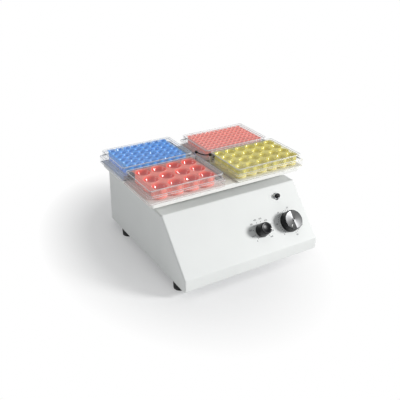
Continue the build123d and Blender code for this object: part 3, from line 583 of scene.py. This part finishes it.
speedKnob = {"baseRadius": 0.0108, "topRadius": 0.0092, "lift": 0.0008, "height": 0.0155, "rim": 0.0011,
             "pointer": -24.0, "lineWidth": 0.0015, "lineLift": 0.00006}
timerKnob = {"baseRadius": 0.0164, "topRadius": 0.0156, "lift": 0.0008, "height": 0.0130, "rim": 0.0008,
             "ribs": 60, "ribDepth": 0.00028, "capRadius": 0.01425, "ringBead": 0.00025, "pointer": 230.0}


def knobProfile(look):
    low = look["lift"]
    high = low + look["height"]
    profile = [(look["baseRadius"] - 0.0012, low + 0.0015), (look["baseRadius"] - 0.0012, low)]
    profile += roundedCorner((look["baseRadius"] - 0.0005, low + 0.0005), 0.0005, -90, 0, 3)
    profile += roundedCorner((look["topRadius"] - look["rim"], high - look["rim"]), look["rim"], 4, 90)
    return profile, high


def makeSpeedKnob():
    place = jointPlace("speed_turn")
    profile, high = knobProfile(speedKnob)
    profile.append((speedKnob["topRadius"] * 0.72, high))
    profile.append((speedKnob["topRadius"] * 0.66, high - 0.00035))
    profile.append((0.0, high - 0.0005))
    bm = bmesh.new()
    addLathe(bm, profile, place, 96)
    mesh = meshFrom("speedKnobBody", bm)
    knob = addPiece("speedKnobBody", mesh, "blackPlastic", "speed_dial")
    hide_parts("speed_knob")
    bm = bmesh.new()  # white line from the face over the rim and down the side
    turn = Matrix.Rotation(math.radians(speedKnob["pointer"]), 4, "Z")
    lift = speedKnob["lineLift"]
    route = [(speedKnob["topRadius"] * 0.74, high + lift)]
    route += roundedCorner((speedKnob["topRadius"] - speedKnob["rim"], high - speedKnob["rim"]),
                           speedKnob["rim"] + lift, 90, 5, 5)
    route.append((speedKnob["baseRadius"] + lift, speedKnob["lift"] + 0.0008))
    addRibbon(bm, route, speedKnob["lineWidth"], place @ turn)
    addPiece("speedKnobLine", meshFrom("speedKnobLine", bm), "whitePrint", "speed_dial")


# Strip along (radius, height) points in the place's XZ plane
def addRibbon(bm, route, width, place, thickness=0.00008):
    rows = []
    for radius, height in route:
        edges = [Vector((radius, side * width / 2, height)) for side in (-1, 1)]
        rows.append([bm.verts.new(place @ edge) for edge in edges])
    for first, second in zip(rows, rows[1:]):
        bm.faces.new((first[0], first[1], second[1], second[0]))
    bmesh.ops.solidify(bm, geom=bm.faces[:], thickness=thickness)


def makeTimerKnob():
    place = jointPlace("timer_turn")
    profile, high = knobProfile(timerKnob)
    profile.append((timerKnob["capRadius"] + 0.0001, high))
    profile.append((timerKnob["capRadius"] + 0.0001, high - 0.0008))
    profile.append((0.0, high - 0.0008))
    ribs, depth = timerKnob["ribs"], timerKnob["ribDepth"]
    low = timerKnob["lift"] + 0.0012
    top = high - 0.0022

    def ripple(radius, height, angle):
        onWall = radius > timerKnob["topRadius"] - 0.0001 and low < height < top
        return radius - depth * (0.5 + 0.5 * math.cos(ribs * angle)) if onWall else radius

    foot, start, climb = timerKnob["baseRadius"] - 0.00012, low + 0.0002, top - low - 0.0004
    walls = [(foot - 0.0006 * index / 5, start + climb * index / 5) for index in range(6)]
    at = next(index for index, point in enumerate(profile) if point[1] > top)
    profile = profile[:at] + walls + profile[at:]
    bm = bmesh.new()
    addLathe(bm, profile, place, ribs * 6, ripple)
    mesh = meshFrom("timerKnobBody", bm)
    knob = addPiece("timerKnobBody", mesh, "blackPlastic", "timer_dial")
    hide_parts("timer_knob")
    radius = timerKnob["capRadius"]
    rings = [(0.0, 0.00005), (0.0016, 0.0), (0.0018, -0.00015), (0.0035, -0.00015)]
    rings += [(radius * 0.6, -0.00005), (radius * 0.9, 0.0001), (radius - 0.0003, 0.00025)]
    rings += [(radius, 0.0), (radius, -0.0007), (0.0, -0.0007)]
    bm = bmesh.new()
    addLathe(bm, [(r, high - 0.0001 + z) for r, z in rings], place, 96)
    uv = bm.loops.layers.uv.new("face")
    inverse = place.inverted()
    for face in bm.faces:
        for loop in face.loops:
            local = inverse @ loop.vert.co
            loop[uv].uv = (0.5 + local.x / (2 * radius), 0.5 + local.y / (2 * radius))
    mesh = meshFrom("timerKnobFace", bm)
    cap = addPiece("timerKnobFace", mesh, "spunFacePaintedReflection", "timer_dial")
    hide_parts("timer_knob_cap")
    bm = bmesh.new()
    bead = roundedCorner((radius, high + 0.00005), timerKnob["ringBead"], 0, 360, 8)
    addLathe(bm, bead, place, 96, None, False)
    addPiece("timerKnobRing", meshFrom("timerKnobRing", bm), "chrome", "timer_dial")
    bm = bmesh.new()
    turn = Matrix.Rotation(math.radians(timerKnob["pointer"]), 4, "Z")
    addRibbon(bm, [(radius * 0.6, high + 0.0001), (radius * 0.86, high + 0.0001)], 0.0012, place @ turn)
    addPiece("timerKnobMark", meshFrom("timerKnobMark", bm), "whitePrint", "timer_dial")


makeSpeedKnob()
makeTimerKnob()
print("knobs made")


speedScale = {"marks": 10, "start": 225.0, "sweep": -270.0, "tickIn": 0.0132, "tickOut": 0.0150,
              "numbers": 0.0188, "size": 0.0033, "tickWidth": 0.0007,
              "labels": [str(100 * value) for value in range(10)]}
timerScale = {"marks": 31, "start": 225.0, "sweep": -300.0, "tickIn": 0.0182, "tickOut": 0.0199,
              "numbers": 0.0230, "size": 0.0036, "tickWidth": 0.0007,
              "labels": [str(10 * value) for value in range(7)]}
printHeight = 0.00006


def addText(bm, words, size, place):
    curve = bpy.data.curves.new("words", "FONT")
    curve.body = words
    curve.size = size
    curve.align_x = "CENTER"
    curve.align_y = "CENTER"
    curve.extrude = printHeight / 2
    holder = bpy.data.objects.new("words", curve)
    bpy.context.scene.collection.objects.link(holder)
    graph = bpy.context.evaluated_depsgraph_get()
    mesh = bpy.data.meshes.new_from_object(holder.evaluated_get(graph))
    mesh.transform(place)
    bm.from_mesh(mesh)
    bpy.data.objects.remove(holder)
    bpy.data.curves.remove(curve)
    bpy.data.meshes.remove(mesh)


def addTick(bm, place, inner, outer, width):
    corners = [(inner, -width / 2), (outer, -width / 2), (outer, width / 2), (inner, width / 2)]
    low = [bm.verts.new(place @ Vector((x, y, 0.0))) for x, y in corners]
    high = [bm.verts.new(place @ Vector((x, y, printHeight))) for x, y in corners]
    bm.faces.new(high)
    bm.faces.new(low[::-1])
    for index in range(4):
        after = (index + 1) % 4
        bm.faces.new((low[index], low[after], high[after], high[index]))


def makeScale(name, jointName, look):
    place = jointPlace(jointName)
    bm = bmesh.new()
    for index in range(look["marks"]):
        angle = math.radians(look["start"] + look["sweep"] * index / (look["marks"] - 1))
        turned = place @ Matrix.Rotation(angle, 4, "Z")
        addTick(bm, turned, look["tickIn"], look["tickOut"], look["tickWidth"])
    labels = look["labels"]
    for index, label in enumerate(labels):
        angle = math.radians(look["start"] + look["sweep"] * index / (len(labels) - 1))
        spot = Vector((look["numbers"] * math.cos(angle), look["numbers"] * math.sin(angle), printHeight / 2))
        addText(bm, label, look["size"], place @ Matrix.Translation(spot))
    addPiece(name, meshFrom(name, bm, False), "greyPrint", "base")


makeScale("speedScalePrint", "speed_turn", speedScale)
makeScale("timerScalePrint", "timer_turn", timerScale)
print("scales made")


inletScrew = {"spread": 0.0200, "radius": 0.0027, "dome": 0.0011, "socket": 0.0012, "depth": 0.0009,
              "sunk": 0.0002}


def makeInletScrews():  # two socket screws that hold the mains inlet
    low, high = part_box("mains_inlet")
    turn = Matrix.Rotation(math.radians(-90), 4, "X")
    bm = bmesh.new()
    radius, dome, socket = inletScrew["radius"], inletScrew["dome"], inletScrew["socket"]
    floor = dome - inletScrew["depth"]
    profile = [(radius, -inletScrew["sunk"]), (radius, dome * 0.25), (radius * 0.9, dome * 0.65)]
    profile += [(radius * 0.7, dome * 0.92), (radius * 0.55, dome), (socket, dome)]
    profile += [(socket * 0.95, floor), (0.0, floor)]
    middle = Vector(((low[0] + high[0]) / 2, high[1], (low[2] + high[2]) / 2))
    for side in (-1, 1):
        spot = middle + Vector((side * inletScrew["spread"], 0.0, 0.0))
        addLathe(bm, profile, Matrix.Translation(spot) @ turn, 36)
    addPiece("inletScrewHeads", meshFrom("inletScrewHeads", bm), "steel", "base")


makeInletScrews()
print("inlet screws made")


wireEnd = {"radius": 0.0024, "height": 0.0038, "across": 0.0138}


def makeWireEnds():  # black moulded caps that hold the wire on its posts
    low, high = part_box("retainer_posts")
    bm = bmesh.new()
    radius, height = wireEnd["radius"], wireEnd["height"]
    profile = [(0.0, -height), (radius * 0.8, -height), (radius, -height * 0.8), (radius, -radius * 0.4)]
    profile += roundedCorner((radius * 0.6, -radius * 0.4), radius * 0.4, 0, 90, 4) + [(0.0, 0.0)]
    post = (high[0] - low[0] - wireEnd["across"]) / 2  # radius of a post
    for x, y in ((low[0] + post, high[1] - post), (high[0] - post, low[1] + post)):
        addLathe(bm, profile, Matrix.Translation(Vector((x, y, high[2]))), 28)
    addPiece("wireEndCaps", meshFrom("wireEndCaps", bm), "blackPlastic", "tray")


makeWireEnds()
print("wire ends made")


shellForm = {"corner": 0.0040, "upperCorner": 0.0028, "ledge": 0.0045, "wall": 0.0011, "soft": 0.0006,
             "rimRise": 0.0005, "rimWidth": 0.0005, "bead": 0.00055, "fillGap": 0.0005}


def roundedLoop(length, width, corner, steps=6):  # points round a rectangle with round corners
    loop = []
    for index, (sideX, sideY) in enumerate(((1, 1), (-1, 1), (-1, -1), (1, -1))):
        centre = (sideX * (length / 2 - corner), sideY * (width / 2 - corner))
        loop += roundedCorner(centre, corner, 90 * index, 90 * index + 90, steps)
    return loop


def addLoops(bm, place, loops):  # skin over (points, height) loops of one count
    rings = [[bm.verts.new(place @ Vector((x, y, height))) for x, y in points] for points, height in loops]
    for lower, upper in zip(rings, rings[1:]):
        for index in range(len(lower)):
            after = (index + 1) % len(lower)
            bm.faces.new((lower[index], lower[after], upper[after], upper[index]))
    return rings


def addBead(bm, place, points, height, radius, sides=6):  # round bead along a closed loop
    count = len(points)
    rings = []
    for side in range(sides + 1):
        angle = 2 * math.pi * side / sides
        ring = []
        for index, (x, y) in enumerate(points):
            before, after = points[index - 1], points[(index + 1) % count]
            along = Vector((after[0] - before[0], after[1] - before[1])).normalized()
            reach = radius * math.cos(angle)
            ring.append((x + along.y * reach, y - along.x * reach))
        rings.append((ring, height + radius * math.sin(angle)))
    addLoops(bm, place, rings)


def inset(node, amount, corner):  # loop inside a node's outline
    low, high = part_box(node)
    return roundedLoop(high[0] - low[0] - 2 * amount, high[1] - low[1] - 2 * amount, corner)


def wellPlaces(look):
    columns, rows, pitch = look["columns"], look["rows"], look["pitch"]
    for column in range(columns):
        for row in range(rows):
            yield (column - (columns - 1) / 2) * pitch, (row - (rows - 1) / 2) * pitch


def addWell(bm, place, look, top, bottom):  # one cell of the deck with its raised rim, tube and floor
    half, radius, steps = look["pitch"] / 2, look["radius"], look["steps"]
    outer = radius + shellForm["rimWidth"]
    soft = shellForm["soft"]
    square, circle = [], []
    for step in range(steps):
        x, y = math.cos(2 * math.pi * step / steps), math.sin(2 * math.pi * step / steps)
        reach = half / max(abs(x), abs(y))
        square.append((x * reach, y * reach))
        circle.append((x, y))

    def ring(size):
        return [(x * size, y * size) for x, y in circle]

    rise = shellForm["rimRise"]
    rings = addLoops(bm, place, [(square, top), (ring(outer), top), (ring(outer - 0.0001), top + rise),
                                 (ring(radius + 0.0001), top + rise), (ring(radius), top - 0.0002),
                                 (ring(radius - 0.0002), bottom + soft), (ring(radius - soft), bottom)])
    bm.faces.new(rings[-1])


def addFill(bm, place, look, top, bottom):  # liquid of one well, with its meniscus and dip
    radius = look["radius"] - 0.00025
    low = top - look["dip"]
    profile = [(0.0, low), (radius * 0.4, low), (radius * 0.68, low + look["dip"] * 0.12)]
    profile += [(radius * 0.84, low + look["dip"] * 0.5), (radius * 0.93, top - 0.0002), (radius * 0.98, top)]
    profile += [(radius, top - 0.0003), (radius, bottom + 0.0003), (radius * 0.9, bottom), (0.0, bottom)]
    uv = bm.loops.layers.uv.verify()
    first = len(bm.faces)
    addLathe(bm, profile, place, look["steps"])
    bm.faces.ensure_lookup_table()
    inverse = place.inverted()
    for face in bm.faces[first:]:
        for loop in face.loops:
            local = inverse @ loop.vert.co
            loop[uv].uv = (math.hypot(local.x, local.y) / radius, 1.0 if local.z > low - 0.0001 else 0.0)


def middleOf(low, high):  # place at the foot of a box, under its middle
    return Matrix.Translation(Vector(((low[0] + high[0]) / 2, (low[1] + high[1]) / 2, low[2])))


def makePlate(name, look):
    node = "plate_" + name
    low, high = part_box(node)
    place = middleOf(low, high)
    roof = high[2] - low[2]
    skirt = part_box("lid_" + name)[0][2] - low[2] - 0.0001
    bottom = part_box("media_" + name)[0][2] - low[2]
    ledge, wall, soft = shellForm["ledge"], shellForm["wall"], shellForm["soft"]
    corner, upper = shellForm["corner"], shellForm["upperCorner"]
    bm = bmesh.new()
    wellArea = roundedLoop(look["columns"] * look["pitch"], look["rows"] * look["pitch"], 0.0002)
    outside = [(inset(node, 0.0, corner), 0.0), (inset(node, 0.0, corner), skirt - soft),
               (inset(node, soft, corner - soft), skirt), (inset(node, ledge, upper), skirt),
               (inset(node, ledge, upper), roof - soft), (inset(node, ledge + soft, upper - soft), roof)]
    tower, hollow = inset(node, ledge + wall, upper), inset(node, wall, corner - wall)
    inside = [(tower, roof - wall), (tower, skirt - wall), (hollow, skirt - wall), (hollow, 0.0)]
    addLoops(bm, place, inside + outside + [(wellArea, roof)])
    title = "plate" + name.capitalize()
    shell = addPiece(title + "Shell", meshFrom(title + "Shell", bm), "clear_" + name, node)
    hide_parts(node)
    bm = bmesh.new()
    for x, y in wellPlaces(look):
        addWell(bm, place @ Matrix.Translation((x, y, 0.0)), look, roof, bottom)
    addPiece(title + "Wells", meshFrom(title + "Wells", bm), "wells_" + name, node)
    # painted highlight: beads along the plate's edges draw its bright edge lines
    bm = bmesh.new()
    bead = shellForm["bead"]
    for reach, height in ((bead, skirt - bead), (bead, bead), (ledge + bead, roof - bead)):
        addBead(bm, place, inset(node, reach, corner if reach < ledge else upper), height, bead)
    addPiece(title + "Beads", meshFrom(title + "Beads", bm), "bead_" + name, node)
    bm = bmesh.new()
    level = roof - shellForm["fillGap"]
    for x, y in wellPlaces(look):
        addFill(bm, place @ Matrix.Translation((x, y, 0.0)), look, level, bottom + 0.0002)
    mesh = meshFrom(title + "Fill", bm)
    fill = addPiece("medium" + name.capitalize() + "Fill", mesh, "medium_" + name, node)
    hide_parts("media_" + name)


def makeLid(name):
    node = "lid_" + name
    low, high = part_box(node)
    place = middleOf(low, high)
    top = high[2] - low[2]
    wall, soft, corner = shellForm["wall"], shellForm["soft"], shellForm["corner"]
    title = "lid" + name.capitalize()
    bm = bmesh.new()
    inside = [(inset(node, wall + 0.004, corner), top - wall - 0.0003),
              (inset(node, wall + soft, corner - wall), top - wall), (inset(node, wall, corner - wall), 0.0)]
    outside = [(inset(node, 0.0, corner), 0.0), (inset(node, 0.0003, corner), top - 0.0012)]
    rim = [(inset(node, 0.0008, corner), top), (inset(node, 0.0026, corner), top),
           (inset(node, 0.0030, corner), top - 0.0004)]
    rings = addLoops(bm, place, inside + outside + rim)
    bm.faces.new(rings[0])
    bm.faces.new(rings[-1])
    lid = addPiece(title + "Cover", meshFrom(title + "Cover", bm), "clear_lid", node)
    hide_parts(node)
    # painted highlight: beads along the lid's edges draw its bright edge lines
    bm = bmesh.new()
    bead = shellForm["bead"]
    for reach, height in ((0.0008, top - bead), (bead, bead)):
        addBead(bm, place, inset(node, reach, corner), height, bead)
    addPiece(title + "Beads", meshFrom(title + "Beads", bm), "bead_lid", node)


for plateName, plateLook in plateSet.items():
    makePlate(plateName, plateLook)
    makeLid(plateName)
    print("plate made:", plateName)


studio = {
    "floorSize": 6.0, "floorColour": (0.94, 0.94, 0.94), "floorDrop": 0.0002,
    "glowMiddle": (0.05, -0.014, 0.0), "glowStretch": (1.0, 0.7, 1.0),
    "glowStops": [(0.09, 0.26), (0.13, 0.36), (0.17, 0.70), (0.21, 1.0)],
    "worldFill": 0.23, "worldColour": (0.94, 0.97, 1.0, 1.0), "white": (1.0, 1.0, 1.0, 1.0),
    "aim": (0.0, 0.0, 0.05),
}
lamps = {
    "keyLamp": {"power": 180.0, "place": (3.17, -2.55, 1.75), "size": 1.1},
    "sideLamp": {"power": 17.0, "place": (-2.6, 0.9, 0.9), "size": 1.6},
    "topLamp": {"power": 2.5, "place": (0.0, 0.1, 1.5), "size": 1.4},
}
view = {"place": (-0.4517, -0.6986, 0.5005), "yaw": 31.84, "pitch": 27.5, "roll": 0.96, "lens": 52.5,
        "sensor": 36.0}


def makeFloor():
    shader = Shader("studioFloor")
    tone = studio["floorColour"]
    cloud = shader.noise(3.0, 2.0)
    lit = shader.add("ShaderNodeBsdfDiffuse", None, {"Color": shader.blend(cloud, shade(tone, 0.99), tone)})
    glow = shader.add("ShaderNodeEmission", None, {"Color": studio["white"], "Strength": 1.0})
    paths = shader.add("ShaderNodeLightPath")
    sockets = {0: shader.coords(studio["glowStretch"]), 1: studio["glowMiddle"]}
    middle = shader.add("ShaderNodeVectorMath", {"operation": "ADD"}, sockets)
    reach = shader.add("ShaderNodeVectorMath", {"operation": "LENGTH"}, {0: middle}).out("Value")
    glowing = shader.ramp(reach, studio["glowStops"])  # white a little way from the object
    seen = paths.out("Is Camera Ray") * glowing
    shader.finish(shader.add("ShaderNodeMixShader", None, {0: seen, 1: lit, 2: glow}))
    half = studio["floorSize"] / 2
    bm = bmesh.new()
    sides = ((-1, -1), (1, -1), (1, 1), (-1, 1))
    corners = [bm.verts.new((x * half, y * half, -studio["floorDrop"])) for x, y in sides]
    bm.faces.new(corners)
    floor = bpy.data.objects.new("floor", meshFrom("floor", bm, False))
    floor.data.materials.append(shader.material)
    bpy.context.scene.collection.objects.link(floor)


def makeWorld():
    world = bpy.data.worlds.new("studio")
    bpy.context.scene.world = world
    world.use_nodes = True
    tree = world.node_tree
    tree.nodes.clear()
    outlet = tree.nodes.new("ShaderNodeOutputWorld")
    fill = tree.nodes.new("ShaderNodeBackground")
    fill.inputs["Color"].default_value = studio["worldColour"]
    fill.inputs["Strength"].default_value = studio["worldFill"]
    white = tree.nodes.new("ShaderNodeBackground")
    white.inputs["Color"].default_value = studio["white"]
    paths = tree.nodes.new("ShaderNodeLightPath")
    mixer = tree.nodes.new("ShaderNodeMixShader")
    tree.links.new(paths.outputs["Is Camera Ray"], mixer.inputs[0])
    tree.links.new(fill.outputs[0], mixer.inputs[1])
    tree.links.new(white.outputs[0], mixer.inputs[2])
    tree.links.new(mixer.outputs[0], outlet.inputs["Surface"])


def addLamp(name, look):
    lamp = bpy.data.lights.new(name, "AREA")
    lamp.energy = look["power"]
    lamp.shape = "DISK"
    lamp.size = look["size"]
    holder = bpy.data.objects.new(name, lamp)
    holder.location = look["place"]
    ahead = Vector(studio["aim"]) - Vector(look["place"])
    holder.rotation_euler = ahead.to_track_quat("-Z", "Y").to_euler()
    bpy.context.scene.collection.objects.link(holder)


def makeCamera():
    yaw, pitch, roll = (math.radians(view[key]) for key in ("yaw", "pitch", "roll"))
    ahead = Vector((math.sin(yaw) * math.cos(pitch), math.cos(yaw) * math.cos(pitch), -math.sin(pitch)))
    right = Vector((math.cos(yaw), -math.sin(yaw), 0.0))
    up = right.cross(ahead)
    turn = Matrix.Rotation(roll, 4, "Z")
    rotation = Matrix((right, up, -ahead)).transposed().to_4x4() @ turn
    camera = bpy.data.objects.new("camera", bpy.data.cameras.new("camera"))
    camera.data.lens = view["lens"]
    camera.data.sensor_width = view["sensor"]
    camera.matrix_world = Matrix.Translation(Vector(view["place"])) @ rotation
    bpy.context.scene.collection.objects.link(camera)
    bpy.context.scene.camera = camera


makeFloor()
makeWorld()
for lampName, lampLook in lamps.items():
    addLamp(lampName, lampLook)
makeCamera()
bpy.context.scene.view_settings.view_transform = "Standard"
print("studio made")
